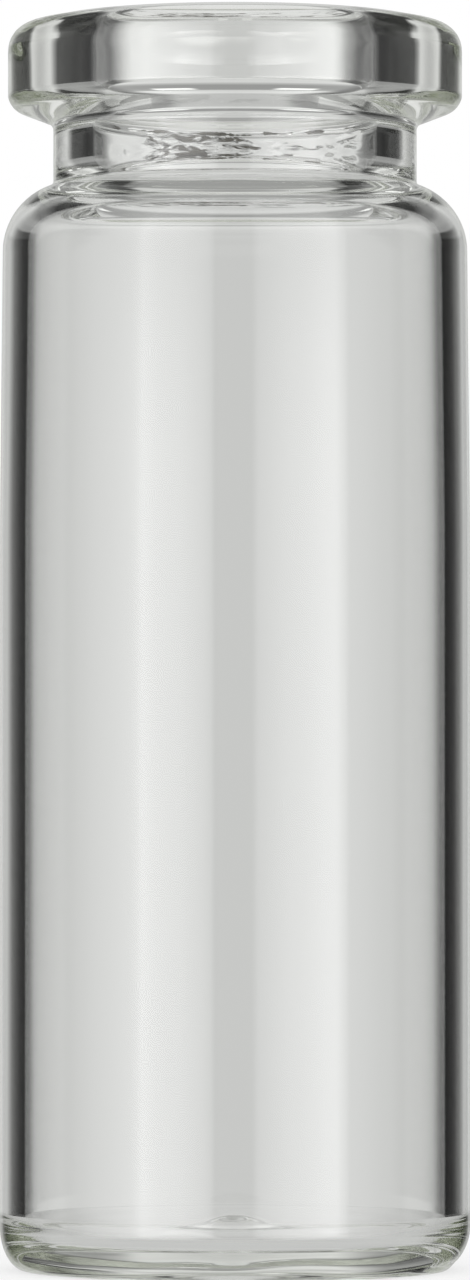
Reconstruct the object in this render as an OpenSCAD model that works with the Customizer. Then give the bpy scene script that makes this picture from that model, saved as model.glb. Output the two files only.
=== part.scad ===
// Crimp-neck sample vial: one piece of clear glass, open at the top.
// One section is revolved about Z. The vial stands on z = 0, centred on its axis.

/* [Body] */
// Overall height, standing ring to the crest of the lip
total_h = 54.5; // [45:0.5:80]
// Outside diameter of the barrel
body_d = 20.5; // [18.5:0.1:26]
// Thickness of the barrel wall
wall_t = 1.0; // [0.7:0.05:1.4]
// How far the barrel has drawn in by the time it reaches the shoulder
draw_in = 0.14; // [0:0.02:0.3]
// Height of the stretch that draws in
draw_h = 14; // [5:1:25]

/* [Base] */
// Glass under the corner of the inside floor
base_t = 1.3; // [0.8:0.05:2.5]
// Width and height of the outside heel, a quarter of an ellipse
heel_w = 1.1; // [0.5:0.1:2]
heel_h = 2.0; // [0.8:0.1:3.5]
// Width of the flat ring that the vial stands on
ring_w = 0.4; // [0.2:0.05:2]
// Height of the push-up under the base
push_up = 0.8; // [0.2:0.05:1.1]
// Radius where the inside wall meets the floor
inner_heel_r = 0.5; // [0.3:0.05:1.5]
// Rise of the inside floor towards the middle
floor_rise = 0.5; // [0.2:0.05:1.5]
// Height of the pip in the middle of the floor
pip_h = 0.65; // [0.1:0.05:1]
// Radius of the pip
pip_r = 3.3; // [1:0.1:5]

/* [Shoulder] */
// Radius of the outside shoulder
shoulder_r = 3.0; // [1:0.1:4]
// Fall of the outside shoulder from the neck, degrees
shoulder_fall = 20; // [10:1:35]
// Radius of the inside shoulder
inner_shoulder_r = 1.7; // [0.8:0.1:3.5]
// Fall of the inside shoulder from the throat, degrees
inner_fall = 18; // [10:1:40]
// Drop from the foot of the neck to the crease where the throat meets the inside shoulder
shoulder_t = 0.95; // [0.7:0.05:1.5]

/* [Throat] */
// How far the throat flares outwards at the foot of the bore
throat_w = 1.1; // [0.6:0.05:1.6]
// Height of the flare
throat_h = 1.0; // [0.5:0.05:1.5]
// Radius where the bore turns into the flare
throat_r = 2.2; // [0.2:0.05:3]
// Radius of the crease
crease_r = 0.2; // [0.05:0.05:0.5]

/* [Neck] */
// Outside diameter of the neck
neck_d = 15.85; // [14.5:0.05:17]
// Bore through the neck and the lip
bore_d = 12.4; // [11:0.1:13]
// Height of the neck between the shoulder and the flange
neck_h = 2.65; // [1.5:0.05:5]
// Fillet at the foot of the neck
foot_fillet = 0.25; // [0.1:0.05:0.6]
// Fillet between the neck and the flange
flange_fillet = 0.4; // [0.1:0.05:0.8]

/* [Flange] */
// Outside diameter of the crimp flange
flange_d = 19.8; // [18.5:0.1:21]
// Depth of the straight rim below the crest of the lip
rim_h = 3.5; // [2.8:0.05:4.5]
// How far the rim draws in at its lower edge
edge_in = 0.25; // [0.05:0.05:0.5]
// Height of the stretch that draws in
edge_h = 0.45; // [0.2:0.05:0.8]
// Radius where it starts
edge_r = 0.6; // [0.05:0.05:1]
// Rise of the underside from the neck to the rim, degrees
under_rise = 21; // [5:1:35]
// Radius where the underside meets the rim
under_r = 0.8; // [0.2:0.05:1]
// Fall of the sealing face from the lip to the rim, degrees
seal_fall = 13; // [4:1:16]
// Radius of the upper edge of the rim
top_r = 0.85; // [0.3:0.05:1.2]
// Radius of the lip where the sealing face turns into the bore
lip_r = 1.5; // [0.4:0.05:1.8]

/* [Hidden] */
GLASS = [0.82, 0.86, 0.84, 0.35];
// Steps in each rounded corner and in the heel, and in each curve of the base
CORNER_STEPS = 10;
DOME_STEPS = 24;
body_r = body_d / 2;
inner_r = body_r - wall_t;
neck_r = neck_d / 2;
bore_r = bore_d / 2;
flange_r = flange_d / 2;
ring_in_r = body_r - heel_w - ring_w;
floor_r = inner_r - inner_heel_r;
flare_r = bore_r + throat_w;
edge_low_r = flange_r - edge_in;
// Radii at the top of the barrel, where it has drawn in
top_body_r = body_r - draw_in;
top_inner_r = inner_r - draw_in;
// Heights of the corners up the outside
edge_z = total_h - rim_h;
edge_low_z = edge_z - edge_h;
under_z = edge_low_z - (edge_low_r - neck_r) * tan(under_rise);
neck_z = under_z - neck_h;
barrel_z = neck_z - (top_body_r - neck_r) * tan(shoulder_fall);
draw_z = barrel_z - draw_h;
// The lip is tangent to the sealing face and to the bore, with its crest at the overall height
lip_z = total_h + lip_r * (tan(seal_fall) + 1 / cos(seal_fall) - 1);
seal_z = lip_z - (flange_r - bore_r) * tan(seal_fall);
// Heights of the corners down the inside
crease_z = neck_z - shoulder_t;
throat_z = crease_z + throat_h;
cavity_z = crease_z - (top_inner_r - flare_r) * tan(inner_fall);

// An outline is a list of corners [radius, height, rounding]. Each corner becomes an arc
// tangent to both of its sides, and two arcs that would not fit on one side share it out.
function at(c) = [c[0], c[1]];
function is_end(path, i) = i == 0 || i == len(path) - 1;
function turn(a, b, c) =
    let (u = at(b) - at(a), v = at(c) - at(b))
    acos(max(-1, min(1, u * v / (norm(u) * norm(v)))));
function reach(path, i) =
    is_end(path, i) ? 0 : path[i][2] * tan(turn(path[i - 1], path[i], path[i + 1]) / 2);
function share(path, i) =
    let (want = reach(path, i) + reach(path, i + 1), room = norm(at(path[i + 1]) - at(path[i])))
    want > room ? room / want : 1;
function corner(path, i) =
    let (
        tip = at(path[i]),
        back = at(path[i - 1]) - tip,
        on = at(path[i + 1]) - tip,
        t = reach(path, i) * min(share(path, i - 1), share(path, i)),
        start = tip + t * back / norm(back),
        end = tip + t * on / norm(on),
        half = turn(path[i - 1], path[i], path[i + 1]) / 2,
        centre = tip + ((start + end) / 2 - tip) / pow(sin(half), 2),
        r = norm(start - centre),
        a0 = atan2(start[1] - centre[1], start[0] - centre[0]),
        gap = atan2(end[1] - centre[1], end[0] - centre[0]) - a0,
        sweep = gap > 180 ? gap - 360 : gap < -180 ? gap + 360 : gap
    )
    [for (k = [0:CORNER_STEPS])
        let (a = a0 + sweep * k / CORNER_STEPS)
        centre + r * [cos(a), sin(a)]];
function rounded(path) =
    [for (i = [0:len(path) - 1])
        each (is_end(path, i) || path[i][2] == 0 ? [at(path[i])] : corner(path, i))];

// Shallow dome from the axis out to radius r, with its edge at height z
function dome(r, z, rise) =
    [for (k = [0:DOME_STEPS - 1])
        let (x = r * k / DOME_STEPS)
        [x, z + rise * (1 - pow(x / r, 2))]];
// Height that the pip adds at radius x
function pip(x) = x < pip_r ? pip_h * (1 + cos(180 * x / pip_r)) / 2 : 0;
function backwards(points) = [for (k = [len(points) - 1:-1:0]) points[k]];

function underside() = dome(ring_in_r, 0, push_up);
function heel() =
    [for (k = [0:CORNER_STEPS])
        let (a = 90 * k / CORNER_STEPS)
        [body_r - heel_w * (1 - sin(a)), heel_h * (1 - cos(a)), 0]];
function walls() = rounded([
    [ring_in_r, 0, 0],
    each heel(),
    [body_r, draw_z, 0],
    [top_body_r, barrel_z, shoulder_r],
    [neck_r, neck_z, foot_fillet],
    [neck_r, under_z, flange_fillet],
    [edge_low_r, edge_low_z, under_r],
    [flange_r, edge_z, edge_r],
    [flange_r, seal_z, top_r],
    [bore_r, lip_z, lip_r],
    [bore_r, throat_z, throat_r],
    [flare_r, crease_z, crease_r],
    [top_inner_r, cavity_z, inner_shoulder_r],
    [inner_r, draw_z, 0],
    [inner_r, base_t, inner_heel_r],
    [floor_r, base_t, 0]
]);
function floor_curve() =
    [for (p = dome(floor_r, base_t, floor_rise)) [p[0], p[1] + pip(p[0])]];

module vial() {
    color(GLASS)
        rotate_extrude($fn = 128)
            polygon(concat(underside(), walls(), backwards(floor_curve())));
}

vial();
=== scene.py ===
"""Crimp-neck sample vial in clear glass, standing on a pale studio floor."""
import math

import bpy
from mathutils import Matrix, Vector, noise


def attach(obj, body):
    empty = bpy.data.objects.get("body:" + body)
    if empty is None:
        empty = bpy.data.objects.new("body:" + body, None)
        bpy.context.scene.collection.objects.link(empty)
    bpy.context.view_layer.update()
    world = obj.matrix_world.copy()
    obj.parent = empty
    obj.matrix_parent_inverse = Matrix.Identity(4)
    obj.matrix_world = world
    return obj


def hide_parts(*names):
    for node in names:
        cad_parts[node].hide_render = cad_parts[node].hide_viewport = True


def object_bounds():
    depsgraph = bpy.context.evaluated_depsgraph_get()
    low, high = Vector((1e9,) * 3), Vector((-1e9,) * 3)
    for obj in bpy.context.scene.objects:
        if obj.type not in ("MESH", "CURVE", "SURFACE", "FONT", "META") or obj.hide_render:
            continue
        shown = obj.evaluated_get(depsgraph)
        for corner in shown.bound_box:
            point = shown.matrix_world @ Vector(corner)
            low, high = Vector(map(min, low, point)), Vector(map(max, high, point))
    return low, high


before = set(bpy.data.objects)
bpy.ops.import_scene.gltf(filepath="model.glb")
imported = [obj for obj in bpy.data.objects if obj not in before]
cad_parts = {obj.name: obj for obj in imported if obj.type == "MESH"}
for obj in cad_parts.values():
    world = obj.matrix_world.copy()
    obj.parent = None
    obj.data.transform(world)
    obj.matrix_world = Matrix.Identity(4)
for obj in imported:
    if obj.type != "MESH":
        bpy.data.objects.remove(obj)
cad_low, cad_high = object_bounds()

MM = 0.001

# ---------------------------------------------------------------- driving sizes, in millimetres and degrees

TOTAL_H = (cad_high - cad_low).z / MM
# Barrel: radius and wall, and how far it draws in over its top stretch
BODY_R, WALL = 10.25, 1.09
DRAW_IN, DRAW_H = 0.14, 14.0
# Base: glass under the inside heel, width and height of the outside heel, standing ring and push-up
BASE_T, HEEL_W, HEEL_H, RING_W, PUSH_UP = 1.35, 1.1, 2.0, 0.4, 0.45
# Inside floor: radius of its heel, rise to the middle, and height and radius of the pip
INNER_HEEL_R, FLOOR_RISE, PIP_H, PIP_R = 1.1, 0.05, 1.05, 3.8
# Shoulder: radius and fall outside, then inside, and the drop from the neck's foot to the crease
SHOULDER_R, SHOULDER_FALL = 3.0, 20.0
INNER_SHOULDER_R, INNER_FALL, SHOULDER_T = 1.7, 18.0, 0.95
# Throat: width and height of the flare at the foot of the bore, its radius and that of the crease
THROAT_W, THROAT_H, THROAT_R, CREASE_R = 1.1, 1.0, 2.2, 0.2
# Neck: outside radius, bore and height, and the fillets at its foot and under the flange
NECK_R, BORE_R, NECK_H = 7.925, 6.2, 2.65
FOOT_FILLET, FLANGE_FILLET = 0.25, 0.4
# Flange: radius, depth of the straight rim, and the width, height and radius of its drawn-in lower edge
FLANGE_R, RIM_H, EDGE_IN, EDGE_H, EDGE_R = 9.9, 3.5, 0.25, 0.45, 0.6
# Underside, sealing face with the rim's upper edge, and lip
UNDER_RISE, UNDER_R = 21.0, 0.8
SEAL_FALL, TOP_R, LIP_R = 11.0, 1.2, 1.5

# Torn seam that the forming tool left in the bore: height, and how far its marks reach above and below
SEAM_Z = TOTAL_H - 4.55
SEAM_ABOVE, SEAM_BELOW = 0.3, 1.6
# Depth and width of the seam's lip, and depth of the drag marks under it
LIP_DEEP, LIP_WIDE, DRAG_DEEP = 0.1, 0.05, 0.12
# Drag marks: where they end and begin below the seam, and how softly
DRAG_END, DRAG_START, DRAG_SOFT = 1.35, 0.1, 0.15
# Part of the bore's radius from which the marks set in, towards its far side
MARKS_FROM, MARKS_FULL = 0.25, 0.45
# Ring that the tool left on the inside shoulder: radius, height, width and reach
RING_MARK_R, RING_MARK_HIGH, RING_MARK_WIDE, RING_MARK_REACH = 7.3, 0.06, 0.06, 0.25
# Fine raised line round the rim: height, thickness, width, wander and reach
RIM_LINE_Z, RIM_LINE_HIGH, RIM_LINE_WIDE = TOTAL_H - 1.48, 0.012, 0.022
RIM_LINE_WANDER, RIM_LINE_REACH = 0.02, 0.1
# Lift of the heel on its right, and how far across it sets in and is full
HEEL_LIFT, LIFT_FROM, LIFT_FULL = 0.2, 6.0, 9.5
# Heights from which the lift fades and at which it has gone, and its softness below the barrel's face
LIFT_LOW, LIFT_TOP, LIFT_EDGE = 0.5, 2.2, 0.6
# Slow waves in the inside floor and in the push-up
FLOOR_WAVE, BASE_WAVE = 0.02, 0.14
# Where they calm: on the floor from a radius to beyond its edge, and below within the standing ring
FLOOR_CALM_R, FLOOR_CALM_PAST, BASE_CALM_FROM, BASE_CALM_FULL = 7.2, 0.4, 1.5, 0.2
# How far past the floor's edge, and above it, the outline counts as floor
FLOOR_PAST, FLOOR_ABOVE = 0.5, 3.0

# Fineness: points round the vial, and in each dome and the heel
TURNS, DOME_STEPS, HEEL_STEPS = 256, 28, 26
# Steps of a rounded corner: least, most, for each radian, and for each radian and millimetre of radius
CORNER_LEAST, CORNER_MOST, CORNER_TURN, CORNER_RADIUS = 6, 18, 4, 3
# Gap between a corner and the point that holds its shape
SUPPORT = 0.06
# A side is divided where it is longer than this many gaps, and its last step is at least this many
DIVIDE_FROM, LAST_STEP = 6, 1.5
# Longest steps along the outline: plain, by the seam, under the seam, over the ring mark, over the rim line
STEP, SEAM_STEP, DRAG_STEP, RING_STEP, LINE_STEP = 0.9, 0.03, 0.05, 0.035, 0.015
SEAM_NEAR = 0.2
# Two radii closer than this are the same
SAME = 0.01


def slope(degrees):
    return math.tan(math.radians(degrees))


# Radii that follow
INNER_R = BODY_R - WALL
RING_IN_R = BODY_R - HEEL_W - RING_W
FLOOR_R = INNER_R - INNER_HEEL_R
FLARE_R = BORE_R + THROAT_W
EDGE_LOW_R = FLANGE_R - EDGE_IN
TOP_BODY_R, TOP_INNER_R = BODY_R - DRAW_IN, INNER_R - DRAW_IN

# Heights that follow, down the outside and then down the inside
EDGE_Z = TOTAL_H - RIM_H
EDGE_LOW_Z = EDGE_Z - EDGE_H
UNDER_Z = EDGE_LOW_Z - (EDGE_LOW_R - NECK_R) * slope(UNDER_RISE)
NECK_Z = UNDER_Z - NECK_H
BARREL_Z = NECK_Z - (TOP_BODY_R - NECK_R) * slope(SHOULDER_FALL)
DRAW_Z = BARREL_Z - DRAW_H
LIP_Z = TOTAL_H + LIP_R * (slope(SEAL_FALL) + 1 / math.cos(math.radians(SEAL_FALL)) - 1)
SEAL_Z = LIP_Z - (FLANGE_R - BORE_R) * slope(SEAL_FALL)
CREASE_Z = NECK_Z - SHOULDER_T
THROAT_Z = CREASE_Z + THROAT_H
CAVITY_Z = CREASE_Z - (TOP_INNER_R - FLARE_R) * slope(INNER_FALL)


# ---------------------------------------------------------------- section of the glass

def turn(a, b, c):
    """Angle by which the outline turns at corner b, in radians."""
    return (Vector(b[:2]) - Vector(a[:2])).angle(Vector(c[:2]) - Vector(b[:2]))


def reach(path, i):
    """How far the rounding of corner i runs along its two sides."""
    if i in (0, len(path) - 1):
        return 0.0
    return path[i][2] * math.tan(turn(*path[i - 1:i + 2]) / 2)


def share(path, i):
    """Part of side i that its two roundings may have, 1 where both fit."""
    want = reach(path, i) + reach(path, i + 1)
    room = (Vector(path[i + 1][:2]) - Vector(path[i][:2])).length
    return min(1.0, room / want) if want else 1.0


def corner_steps(sweep, radius, z):
    """Steps of one rounded corner, twice as many in the base, where the glass is thick."""
    wanted = abs(sweep) * (CORNER_TURN + CORNER_RADIUS * radius)
    steps = round(min(CORNER_MOST, max(CORNER_LEAST, wanted)))
    return 2 * steps if z < HEEL_H else steps


def corner(path, i):
    """Points of the arc that rounds corner i, tangent to both sides."""
    tip, back, on = (Vector(path[k][:2]) for k in (i, i - 1, i + 1))
    run = reach(path, i) * min(share(path, i - 1), share(path, i))
    start = tip + run * (back - tip).normalized()
    end = tip + run * (on - tip).normalized()
    half = turn(*path[i - 1:i + 2]) / 2
    centre = tip + ((start + end) / 2 - tip) / math.sin(half) ** 2
    radius = (start - centre).length
    first = math.atan2(*(start - centre).yx)
    sweep = math.remainder(math.atan2(*(end - centre).yx) - first, 2 * math.pi)
    steps = corner_steps(sweep, radius, tip.y)
    angles = (first + sweep * k / steps for k in range(steps + 1))
    return [(centre.x + radius * math.cos(a), centre.y + radius * math.sin(a)) for a in angles]


def rounded(path):
    """Outline through the corners (radius, height, rounding)."""
    points = []
    for i, tip in enumerate(path):
        sharp = i in (0, len(path) - 1) or tip[2] == 0
        points += [tip[:2]] if sharp else corner(path, i)
    return points


def dome(radius, height, rise):
    """Shallow dome from the axis out to a radius."""
    steps = (radius * k / DOME_STEPS for k in range(DOME_STEPS))
    return [(r, height + rise * (1 - (r / radius) ** 2)) for r in steps]


def pip(r):
    """Height that the pip adds to the inside floor."""
    return PIP_H * (1 + math.cos(math.pi * r / PIP_R)) / 2 if r < PIP_R else 0.0


def heel():
    """Elliptical heel, taller than it is wide, from the standing ring up to the barrel."""
    angles = (math.pi / 2 * k / HEEL_STEPS for k in range(HEEL_STEPS + 1))
    return [(BODY_R - HEEL_W * (1 - math.sin(a)), HEEL_H * (1 - math.cos(a)), 0) for a in angles]


def walls():
    """Outline from the standing ring, up the outside, over the lip and down the inside to the floor."""
    return rounded([
        (RING_IN_R, 0, 0), *heel(), (BODY_R, DRAW_Z, 0),
        (TOP_BODY_R, BARREL_Z, SHOULDER_R), (NECK_R, NECK_Z, FOOT_FILLET),
        (NECK_R, UNDER_Z, FLANGE_FILLET), (EDGE_LOW_R, EDGE_LOW_Z, UNDER_R), (FLANGE_R, EDGE_Z, EDGE_R),
        (FLANGE_R, SEAL_Z, TOP_R), (BORE_R, LIP_Z, LIP_R), (BORE_R, THROAT_Z, THROAT_R),
        (FLARE_R, CREASE_Z, CREASE_R), (TOP_INNER_R, CAVITY_Z, INNER_SHOULDER_R), (INNER_R, DRAW_Z, 0),
        (INNER_R, BASE_T, INNER_HEEL_R), (FLOOR_R, BASE_T, 0)])


def by_seam(r, z):
    return abs(r - BORE_R) < SAME and SEAM_Z - SEAM_BELOW < z < SEAM_Z + SEAM_ABOVE


def on_ring_mark(r, z):
    return abs(r - RING_MARK_R) < RING_MARK_REACH and CAVITY_Z < z < NECK_Z


def on_rim_line(r, z):
    return abs(r - FLANGE_R) < SAME and abs(z - RIM_LINE_Z) < RIM_LINE_REACH


def spacing(r, z):
    """Longest step along the outline at this place: short where the forming tool left its marks."""
    if by_seam(r, z):
        return SEAM_STEP if abs(z - SEAM_Z) < SEAM_NEAR else DRAG_STEP
    if on_ring_mark(r, z):
        return RING_STEP
    return LINE_STEP if on_rim_line(r, z) else STEP


def fine(points):
    """Outline with long sides divided, and a support point near each end of them."""
    dense = [points[0]]
    for a, b in zip(points, points[1:]):
        a, b = Vector(a), Vector(b)
        length = (b - a).length
        if length > DIVIDE_FROM * SUPPORT:
            gone = SUPPORT
            while gone <= length - LAST_STEP * SUPPORT:
                place = a.lerp(b, gone / length)
                dense.append(tuple(place))
                gone += spacing(*place)
            dense.append(tuple(a.lerp(b, 1 - SUPPORT / length)))
        dense.append(tuple(b))
    return dense


def section():
    """The outline of the glass, from the axis under the base round to the axis inside."""
    floor_curve = [(r, z + pip(r)) for r, z in dome(FLOOR_R, BASE_T, FLOOR_RISE)]
    return fine(dome(RING_IN_R, 0, PUSH_UP) + walls()) + floor_curve[::-1]


# ---------------------------------------------------------------- marks of the making

def fade(value, low, high):
    """0 below low, 1 above high, smooth between."""
    t = min(1.0, max(0.0, (value - low) / (high - low)))
    return t * t * (3 - 2 * t)


def window(value, low, high, soft):
    """1 from low to high, fading out softly beyond both."""
    return fade(value, low - soft, low) * (1 - fade(value, high, high + soft))


def bump(value, width):
    return math.exp(-(value / width) ** 2)


def rough(seed, across, along=0.0):
    """Smooth noise, from about -1 to 1, at a place measured in its own waves."""
    return noise.noise(Vector((across, along, seed)))


def bore_marks(x, y, z):
    """Inward shift of the bore where the forming tool dragged the glass, on its far half."""
    side = fade(y / BORE_R, MARKS_FROM, MARKS_FULL)
    seam = SEAM_Z + 0.06 * rough(3.1, x * 0.9) + 0.04 * rough(8.4, x * 3.7)
    unbroken = fade(rough(1.7, x * 0.8, 4.2) + 0.25 * rough(0.4, x * 3.1, 2.2), -0.35, -0.15)
    lip = LIP_DEEP * bump(z - seam, LIP_WIDE) * unbroken
    drag = window(z, SEAM_Z - DRAG_END, SEAM_Z - DRAG_START, DRAG_SOFT)
    patchy = fade(rough(9.3, x * 0.4, z * 0.8) + 0.3, 0.05, 0.4)
    folds = 1 - 2 * abs(rough(5.5, x * 0.8 + z * 0.5, z * 2.6)) + 0.6 * rough(2.8, x * 2.2, z * 5.0)
    return side * (lip + DRAG_DEEP * drag * patchy * folds)


def ring_mark(x, y):
    """Lift of the inside shoulder along the ring that the tool left, deeper in some places."""
    r = math.hypot(x, y)
    deep = 0.55 + 0.5 * rough(6.1, 2.3 * x / r, 2.3 * y / r)
    return RING_MARK_HIGH * deep * bump(r - RING_MARK_R, RING_MARK_WIDE)


def rim_line(x, y, z):
    """Outward shift of the rim along the fine raised line where the tool's two parts met."""
    line = RIM_LINE_Z + RIM_LINE_WANDER * rough(2.2, x * 0.5, y * 0.5)
    return RIM_LINE_HIGH * bump(z - line, RIM_LINE_WIDE) * (0.6 + 0.8 * rough(5.2, x * 0.7, y * 0.7))


def heel_lift(x, r, z):
    """Lift of the heel on its right, where it set rounder than elsewhere."""
    across = fade(x, LIFT_FROM, LIFT_FULL)
    outwards = fade(r, RING_IN_R + RING_W, BODY_R - LIFT_EDGE)
    return HEEL_LIFT * across * outwards * (1 - fade(z, LIFT_LOW, LIFT_TOP))


def floor_waves(x, y):
    """Uneven lift of the inside floor, which set in slow waves round the pip."""
    calm = fade(math.hypot(x, y), FLOOR_CALM_R, FLOOR_R + FLOOR_CALM_PAST)
    wave = rough(7.7, x * 0.2, y * 0.3) + 0.4 * rough(1.3, x * 0.45, y * 0.6)
    return FLOOR_WAVE * (1 - calm) * wave


def base_waves(x, y):
    """Uneven lift of the push-up under the base."""
    calm = fade(math.hypot(x, y), RING_IN_R - BASE_CALM_FROM, RING_IN_R - BASE_CALM_FULL)
    return BASE_WAVE * (1 - calm) * rough(4.4, x * 0.25, y * 0.25)


def worked_inside(r, z, x, y):
    """Radius and height of one inside point after the marks of forming are added."""
    if r < FLOOR_R + FLOOR_PAST and z < BASE_T + FLOOR_ABOVE:
        z += floor_waves(x, y)
    if by_seam(r, z):
        r -= bore_marks(x, y, z)
    if on_ring_mark(r, z):
        z += ring_mark(x, y)
    return r, z


def worked_outside(r, z, x, y):
    """Radius and height of one outside point after the marks of forming are added."""
    if r < RING_IN_R and z < HEEL_H:
        z += base_waves(x, y)
    if r > RING_IN_R + RING_W and z < LIFT_TOP:
        z += heel_lift(x, r, z)
    if on_rim_line(r, z):
        r += rim_line(x, y, z)
    return r, z


def ring_of_points(r, z, worked):
    """One ring of the outline's turn round the axis."""
    points = []
    for j in range(TURNS):
        angle = 2 * math.pi * j / TURNS
        rr, zz = worked(r, z, r * math.cos(angle), r * math.sin(angle))
        points.append((rr * math.cos(angle), rr * math.sin(angle), zz))
    return points


def blown_vial():
    """The vial as one closed glass surface."""
    outline = section()
    crest = max(range(len(outline)), key=lambda k: outline[k][1])
    points = [(0, 0, outline[0][1] + base_waves(0, 0))]
    for k, (r, z) in enumerate(outline[1:-1], 1):
        points += ring_of_points(r, z, worked_inside if k > crest else worked_outside)
    points.append((0, 0, outline[-1][1] + floor_waves(0, 0)))
    top = len(points) - 1
    last = top - TURNS
    around = [(j, (j + 1) % TURNS) for j in range(TURNS)]
    faces = [(0, 1 + b, 1 + a) for a, b in around]
    for low in range(1, last, TURNS):
        faces += [(low + a, low + b, low + TURNS + b, low + TURNS + a) for a, b in around]
    faces += [(last + a, last + b, top) for a, b in around]
    mesh = bpy.data.meshes.new("blown_vial")
    mesh.from_pydata([Vector(p) * MM for p in points], [], faces)
    mesh.shade_smooth()
    mesh.validate()
    vial = bpy.data.objects.new("blown_vial", mesh)
    bpy.context.scene.collection.objects.link(vial)
    return vial


# ---------------------------------------------------------------- shader wiring

def operator(operation):
    """A Python operator and its reflected form, which each add one Math node."""
    def forward(self, other):
        return self.board.math(operation, self, other)

    def reflected(self, other):
        return self.board.math(operation, other, self)
    return forward, reflected


class Wire:
    """A shader socket that Python's operators work on."""

    def __init__(self, board, socket):
        self.board, self.socket = board, socket

    __add__, __radd__ = operator("ADD")
    __sub__, __rsub__ = operator("SUBTRACT")
    __mul__, __rmul__ = operator("MULTIPLY")
    __truediv__, __rtruediv__ = operator("DIVIDE")
    __pow__, __rpow__ = operator("POWER")

    def __neg__(self):
        return 0 - self

    def __abs__(self):
        return self.board.math("ABSOLUTE", self)


class Board:
    """The node tree of one material or of the world."""

    def __init__(self, owner):
        owner.use_nodes = True
        self.tree = owner.node_tree
        self.tree.nodes.clear()

    def node(self, kind, settings=None, *values, give=0, **named):
        """A node: its settings first, then its sockets' values or links.

        It gives the output that give names, or all of them where give is None.
        """
        made = self.tree.nodes.new(kind)
        for name, setting in (settings or {}).items():
            if name == "stops":
                ramp = made.color_ramp
                while len(ramp.elements) < len(setting):
                    ramp.elements.new(0.5)
                for stop, (place, level) in zip(ramp.elements, setting):
                    stop.position = place
                    stop.color = grey(level)
            else:
                setattr(made, name, setting)
        places = list(enumerate(values)) + [(name.replace("_", " "), v) for name, v in named.items()]
        for place, value in places:
            if isinstance(value, Wire):
                self.tree.links.new(value.socket, made.inputs[place])
            elif value is not None:
                made.inputs[place].default_value = value
        if give is None:
            return [Wire(self, out) for out in made.outputs]
        return Wire(self, made.outputs[give]) if made.outputs else None

    def math(self, operation, *values):
        return self.node("ShaderNodeMath", {"operation": operation}, *values)

    def degrees(self, operation, *values):
        """The angle that an inverse function gives, in degrees."""
        return self.math(operation, *values) * (180 / math.pi)

    def smooth(self, value, low, high):
        """0 below low, 1 above high, smooth between."""
        settings = {"interpolation_type": "SMOOTHSTEP"}
        return self.node("ShaderNodeMapRange", settings, value, low, high, 0.0, 1.0)

    def drop(self, value, low, high):
        """1 below low, 0 above high, smooth between."""
        return self.smooth(-value, -high, -low)

    def within(self, value, middle, core, edge):
        """1 up to core away from the middle, 0 beyond edge."""
        return self.drop(abs(value - middle), core, edge)

    def ramp(self, stops, value, low, high, peak=1.0):
        """Level at a value, from stops of (value, level), as a share of the peak."""
        span = high - low
        shares = [((place - low) / span, level / peak) for place, level in stops]
        return self.node("ShaderNodeValToRGB", {"stops": shares}, (value - low) / span)

    def mix(self, factor, a, b):
        """Colours a and b mixed, by the Mix node's colour sockets, which come after five other ones."""
        return self.node("ShaderNodeMix", {"data_type": "RGBA"}, factor, *[None] * 5, a, b, give=2)

    def scaled(self, colour, by):
        return self.node("ShaderNodeVectorMath", {"operation": "SCALE"}, colour, Scale=by)

    def times(self, a, b):
        return self.node("ShaderNodeVectorMath", {"operation": "MULTIPLY"}, a, b)


def grey(level):
    return (level, level, level, 1)


# ---------------------------------------------------------------- glass

# Near-black painted shade along the tool marks in the bore, and the light that a metre of the glass lets
# through
MARK_SHADE = (0.012, 0.01, 0.006, 1)
BODY_TINT, BODY_DENSITY = (0.85, 0.87, 0.8, 1), 20.0
REFRACTION = 1.49
# How much taller than leaning a tear is, and how it breaks up
LEAN, BREAK_UP, BEND = 6, 0.6, 0.5
# Where the painted shade along the tool marks is thickest across the bore, and how much it adds there
THICKEST, THICK_CORE, THICK_EDGE, THICK_ADDS = -1.2, 0.8, 3.6, 0.12


def tool_mark_shade(board):
    """Painted shade on the bore along the forming tool's torn seam and the smears under it, and in flecks on
    its near side: near-black colour for the dark that the tool marks bend into the glass.
    """
    place = board.node("ShaderNodeTexCoord", give="Object")
    x, y, z = (axis / MM for axis in board.node("ShaderNodeSeparateXYZ", None, place, give=None))

    def torn(along, up, seed, detail):
        """Noise stretched along the bore."""
        spot = board.node("ShaderNodeCombineXYZ", None, x * along + z * (up / LEAN), z * up + seed, seed)
        return board.node(
            "ShaderNodeTexNoise", None, spot, Scale=1.0, Detail=detail, Roughness=BREAK_UP, Distortion=BEND)

    bore = board.drop((x * x + y * y) ** 0.5, BORE_R + 0.1, BORE_R + 0.2)
    under = SEAM_Z + (torn(0.6, 0.0, 2.7, 3.0) - 0.5) * 0.35 - z
    thick = board.smooth(torn(0.7, 0.0, 4.1, 3.0), 0.42, 0.62) * 0.1
    seam = board.smooth(thick - abs(under), 0.0, 0.025)
    cover = THICK_ADDS * board.within(x, THICKEST, THICK_CORE, THICK_EDGE)
    smear_shade = board.smooth(torn(0.7, 2.6, 7.3, 4.0) + cover, 0.6, 0.66)
    smear_shade = smear_shade * board.smooth(under, 0.0, 0.1) * board.drop(under, 1.1, 1.3)
    far = board.smooth(y, 1.2, 2.6) * board.math("MAXIMUM", seam, smear_shade)
    fleck_shade = board.smooth(torn(0.7, 2.2, 8.9, 5.0) + cover, 0.62, 0.67) * board.drop(y, -4.6, -4.0)
    fleck_shade = fleck_shade * board.smooth(under, 1.35, 1.5) * board.drop(under, 1.9, 2.1)
    return bore * (far + fleck_shade)


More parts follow.
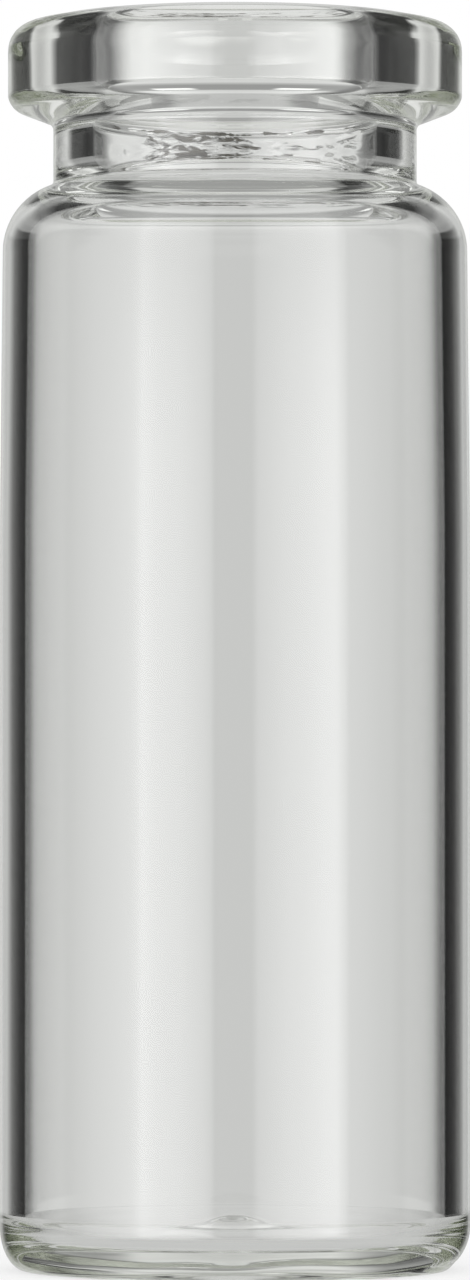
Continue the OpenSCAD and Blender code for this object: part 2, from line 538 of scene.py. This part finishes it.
def clear_glass():
    """Clear drawn glass with a faint olive body, and painted shade along the tool marks in its bore."""
    glass = bpy.data.materials.new("clear_glass")
    board = Board(glass)
    # The base colour goes near-black where the tool marks are: painted shade, not a stain of the glass.
    shell = board.node(
        "ShaderNodeBsdfPrincipled", None, Base_Color=board.mix(tool_mark_shade(board), grey(1), MARK_SHADE),
        Roughness=0.0, IOR=REFRACTION, Transmission_Weight=1.0)
    body = board.node("ShaderNodeVolumeAbsorption", None, Color=BODY_TINT, Density=BODY_DENSITY)
    board.node("ShaderNodeOutputMaterial", None, Surface=shell, Volume=body)
    return glass


# ---------------------------------------------------------------- studio

# Level of the studio seen through the glass, by degrees from straight ahead, to the left (below 0)
# and to the right. It has two dark sides.
AROUND = ((-90, 0.55), (-78, 0.5), (-72, 0.15), (-66, 0.02), (-40, 0.03), (-32, 0.04), (-28, 0.07),
          (-26, 0.17), (-23, 0.34), (-20, 0.57), (-17, 0.76), (-10, 0.69), (-5, 0.61), (0, 0.575), (4, 0.59),
          (8, 0.63), (12, 0.7), (15, 0.73), (17, 0.68), (19, 0.48), (21, 0.3), (26, 0.07), (32, 0.02),
          (66, 0.02), (72, 0.15), (78, 0.5), (90, 0.55))
# How it changes by degrees of height, as a share of the level part, and the largest share
RISE = ((0, 1.0), (4.8, 1.0), (7, 1.0), (12, 1.05), (15, 1.15), (18, 1.15), (22, 0.55), (32, 0.55),
        (36, 1.2), (46, 1.2), (56, 0.55), (90, 0.55))
RISE_PEAK = 1.2
# Level of the camera's own side of the studio, and the part of a turn over which it takes over
BEHIND, BEHIND_BLEND = 0.58, 0.2
# Levels overhead and below, and how far the overhead light takes over, by degrees of height
OVERHEAD, BELOW = 0.6, 0.8
LIFT = ((0, 0.0), (7.5, 0.0), (9, 0.45), (26, 0.45), (32, 0.0), (46, 0.0), (60, 1.0), (90, 1.0))
# Degrees of depth over which the lower room takes over, and where the dark sides end beside and below it
BELOW_FROM, BELOW_FULL = 12, 20
SIDES_FROM, SIDES_FULL, SIDES_DEEP, SIDES_GONE = 20, 30, 40, 60
# Two lamps high behind the vial: level, degrees to each side and of height, and their half sizes
LAMP, LAMP_SIDE, LAMP_HEIGHT = 1.2, 8, 30
LAMP_HALF_WIDE, LAMP_HALF_HIGH, LAMP_SOFT = 2.5, 1.5, 1.5
# Faint warm green of the light that comes through the walls
CAST = (0.99, 1.0, 0.98)

# Soft boxes seen in the face of the glass, by degrees from straight behind the camera
BOXES = ((-90, 0.1), (-80, 0.8), (-70, 2.3), (-62, 3.2), (-55, 4.2), (-52, 4.7), (-49, 5.7), (-46, 7.4),
         (-39, 6.3), (-33, 5.8), (-27, 5.5), (-21, 4.6), (-15, 3.7), (-12, 2.7), (-9.5, 0.8), (8, 0.8),
         (11.5, 2.8), (17, 3.7), (26, 5.0), (35, 5.8), (44, 6.9), (51, 7.2), (53, 5.5), (55, 5.0),
         (57.5, 2.9), (64, 2.3), (76, 1.0), (90, 0.1))
BOX_PEAK, BOX_DIMMED = 7.4, 0.95
# How far they give way to the dim room, by degrees of height, and the room's share of the brightest box
BOX_FADE = ((-90, 1.0), (-9, 1.0), (-4.3, 0.0), (3.9, 0.0), (4.9, 0.25), (12, 0.25), (22, 0.32), (35, 0.6),
            (60, 1.0), (90, 1.0))
ROOM = 0.04
# Part of a turn over which the boxes give way to the studio seen through the glass
FACE_BLEND = 0.08

# Floor: half width in metres, its own colour, and the share of plain white that the camera sees in it
FLOOR_HALF, FLOOR_COLOUR, FLOOR_WHITE = 4.0, (0.9, 0.9, 0.9, 1), 0.7
# Level of the table seen through the glass, its radius in metres, and the softness of its edge
TABLE, TABLE_R, TABLE_SOFT = 0.58, 0.035, 0.1

# Lamps that draw the shadow, in metres, degrees and watts
LAMP_AWAY, LAMP_UP, LAMP_SIZE, LAMP_POWER = 0.45, 0.15, (0.2, 0.3), 0.4
LAMP_TURNS = {"lamp_left": -30, "lamp_right": 33}

# Camera: height of the eye, distance from the axis and height of what it looks at, all in millimetres
EYE_Z, EYE_AWAY, LOOK_Z = 20.6, 350, 27.4
SENSOR, FOCAL = 36, 225.84
NEAREST, FURTHEST = 0.01, 20

# Light is caught in the thick glass of the base and rim, and needs this many turns to get out
LONG_PATH = 192


def seen_through(board, y, side, height):
    """The studio that light through the glass comes from, with dark sides and two small lamps."""
    around = board.ramp(AROUND, side, -90, 90)
    around = board.mix(board.smooth(-y, 0.0, BEHIND_BLEND), around, grey(BEHIND))
    around = board.mix(board.ramp(LIFT, height, 0, 90), around, grey(OVERHEAD))
    around = board.times(around, board.ramp(RISE, height, 0, 90, RISE_PEAK))
    around = board.scaled(around, RISE_PEAK)
    across = board.within(abs(side), LAMP_SIDE, LAMP_HALF_WIDE, LAMP_HALF_WIDE + LAMP_SOFT)
    lamp = across * board.within(height, LAMP_HEIGHT, LAMP_HALF_HIGH, LAMP_HALF_HIGH + LAMP_SOFT)
    around = board.mix(lamp, around, grey(LAMP))
    dark_sides = board.smooth(abs(side), SIDES_FROM, SIDES_FULL)
    dark_sides = dark_sides * board.smooth(height, -SIDES_GONE, -SIDES_DEEP)
    below = board.smooth(-height, BELOW_FROM, BELOW_FULL) * (1 - dark_sides)
    return board.times(board.mix(below, around, grey(BELOW)), CAST)


def soft_boxes(board, side, height):
    """The boxes that light the face of the glass, in a dim room."""
    boxes = board.ramp(BOXES, side, -90, 90, BOX_PEAK)
    boxes = board.mix(board.ramp(BOX_FADE, height, -90, 90), boxes, grey(ROOM))
    return board.scaled(boxes, BOX_PEAK * BOX_DIMMED)


def studio_world():
    """White where nothing is, the studio through the glass, and soft boxes in its face."""
    world = bpy.data.worlds.new("studio")
    bpy.context.scene.world = world
    board = Board(world)
    direction = board.node("ShaderNodeTexCoord", give="Generated")
    x, y, z = board.node("ShaderNodeSeparateXYZ", None, direction, give=None)
    side = board.degrees("ARCTAN2", x, abs(y))
    height = board.degrees("ARCSINE", z)
    through = seen_through(board, y, side, height)
    faced = board.mix(board.smooth(y, -FACE_BLEND, FACE_BLEND), soft_boxes(board, side, height), through)
    shade = board.mix(board.node("ShaderNodeLightPath", give="Is Glossy Ray"), grey(1), faced)
    shade = board.mix(board.node("ShaderNodeLightPath", give="Is Transmission Ray"), shade, through)
    shade = board.mix(board.node("ShaderNodeLightPath", give="Is Camera Ray"), shade, grey(1))
    board.node("ShaderNodeOutputWorld", None, board.node("ShaderNodeBackground", None, shade, 1.0))


def floor_paint():
    """Pale paint that takes a shadow. Through the glass it is a small grey table, and clear past its edge."""
    paint = bpy.data.materials.new("pale_floor")
    board = Board(paint)
    matt = board.node("ShaderNodeBsdfDiffuse", None, FLOOR_COLOUR)
    white = board.node("ShaderNodeEmission", None, grey(1), 1.0)
    lift = board.node("ShaderNodeLightPath", give="Is Camera Ray") * FLOOR_WHITE
    pale = board.node("ShaderNodeMixShader", None, lift, matt, white)
    place = board.node("ShaderNodeTexCoord", give="Object")
    x, y, z = board.node("ShaderNodeSeparateXYZ", None, place, give=None)
    near = board.drop((x * x + y * y) ** 0.5, TABLE_R * (1 - TABLE_SOFT), TABLE_R * (1 + TABLE_SOFT))
    glow = board.node("ShaderNodeEmission", None, (*(TABLE * part for part in CAST), 1), 1.0)
    clear = board.node("ShaderNodeBsdfTransparent")
    table = board.node("ShaderNodeMixShader", None, near, clear, glow)
    through = board.node("ShaderNodeLightPath", give="Is Transmission Ray")
    surface = board.node("ShaderNodeMixShader", None, through, pale, table)
    board.node("ShaderNodeOutputMaterial", None, surface)
    return paint


def pale_floor():
    """A wide pale floor that keeps the vial's soft shadow."""
    mesh = bpy.data.meshes.new("pale_floor")
    corners = [(a * FLOOR_HALF, b * FLOOR_HALF, 0) for a, b in ((-1, -1), (1, -1), (1, 1), (-1, 1))]
    mesh.from_pydata(corners, [], [(0, 1, 2, 3)])
    mesh.materials.append(floor_paint())
    floor = bpy.data.objects.new("pale_floor", mesh)
    bpy.context.scene.collection.objects.link(floor)
    floor.visible_glossy = False


def soft_lamp(name, degrees):
    """A plain soft lamp that faces the vial, from degrees round to the right of the camera."""
    lamp = bpy.data.lights.new(name, "AREA")
    lamp.shape = "RECTANGLE"
    lamp.size, lamp.size_y = LAMP_SIZE
    lamp.energy = LAMP_POWER
    holder = bpy.data.objects.new(name, lamp)
    turned = math.radians(degrees)
    holder.location = (LAMP_AWAY * math.sin(turned), -LAMP_AWAY * math.cos(turned), LAMP_UP)
    aim = Vector((0, 0, TOTAL_H * MM / 2)) - holder.location
    holder.rotation_euler = aim.to_track_quat("-Z", "Y").to_euler()
    holder.visible_transmission = False
    holder.visible_glossy = False
    holder.visible_camera = False
    bpy.context.scene.collection.objects.link(holder)


def camera():
    """Level with the lower third of the barrel, and tipped up a little to frame the whole vial."""
    lens = bpy.data.cameras.new("camera")
    lens.sensor_width, lens.lens = SENSOR, FOCAL
    lens.clip_start, lens.clip_end = NEAREST, FURTHEST
    holder = bpy.data.objects.new("camera", lens)
    holder.location = (0, -EYE_AWAY * MM, EYE_Z * MM)
    aim = Vector((0, 0, LOOK_Z * MM)) - holder.location
    holder.rotation_euler = aim.to_track_quat("-Z", "Y").to_euler()
    bpy.context.scene.collection.objects.link(holder)
    bpy.context.scene.camera = holder


# ---------------------------------------------------------------- put together

scene = bpy.context.scene
scene.view_settings.view_transform = "Standard"
scene.cycles.max_bounces = LONG_PATH
scene.cycles.transmission_bounces = LONG_PATH
scene.cycles.glossy_bounces = LONG_PATH

camera()
studio_world()
pale_floor()
for lamp_name, lamp_turn in LAMP_TURNS.items():
    soft_lamp(lamp_name, lamp_turn)

vial = blown_vial()
vial.data.materials.append(clear_glass())
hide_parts("vial")
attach(vial, "root")
